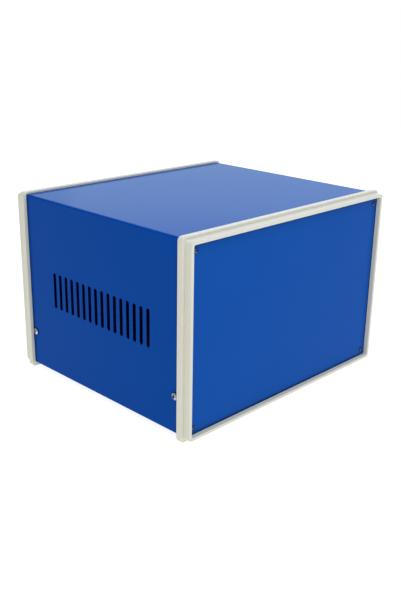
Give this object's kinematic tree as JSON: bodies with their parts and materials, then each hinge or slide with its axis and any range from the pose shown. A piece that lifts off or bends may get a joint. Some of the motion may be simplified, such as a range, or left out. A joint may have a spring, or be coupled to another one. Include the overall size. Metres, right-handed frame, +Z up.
{
  "type": "instrument enclosure",
  "caption": "Free-standing metal instrument case: a folded, slotted steel cover over a steel tray, between stepped plastic end frames that hold recessed blank panels.",
  "frame": {"origin": "middle of the standing surface under the case", "axes": "+X to the right along the width as seen from the front, -Y out of the front panel, +Z up"},
  "size_m": [0.25, 0.22, 0.166],
  "materials": {
    "frame_plastic": "moulded ABS, fine satin",
    "panel_paint": "powder-coated sheet, satin",
    "cover_paint": "powder-coated steel sheet, satin",
    "tray_paint": "powder-coated steel sheet, satin",
    "panel_screw_steel": "black nickel-plated",
    "cover_screw_steel": "zinc-plated",
    "nut_steel": "zinc-plated",
    "tray_screw_steel": "zinc-plated"
  },
  "bodies": {
    "root": {"front_frame": "frame_plastic", "rear_frame": "frame_plastic", "front_panel": "panel_paint", "rear_panel": "panel_paint", "top_cover": "cover_paint", "base_tray": "tray_paint", "front_panel_screws": "panel_screw_steel", "rear_panel_screws": "panel_screw_steel", "left_cover_screws": "cover_screw_steel", "right_cover_screws": "cover_screw_steel", "left_cover_nuts": "nut_steel", "right_cover_nuts": "nut_steel", "front_tray_screws": "tray_screw_steel", "rear_tray_screws": "tray_screw_steel"}
  },
  "joints": []
}
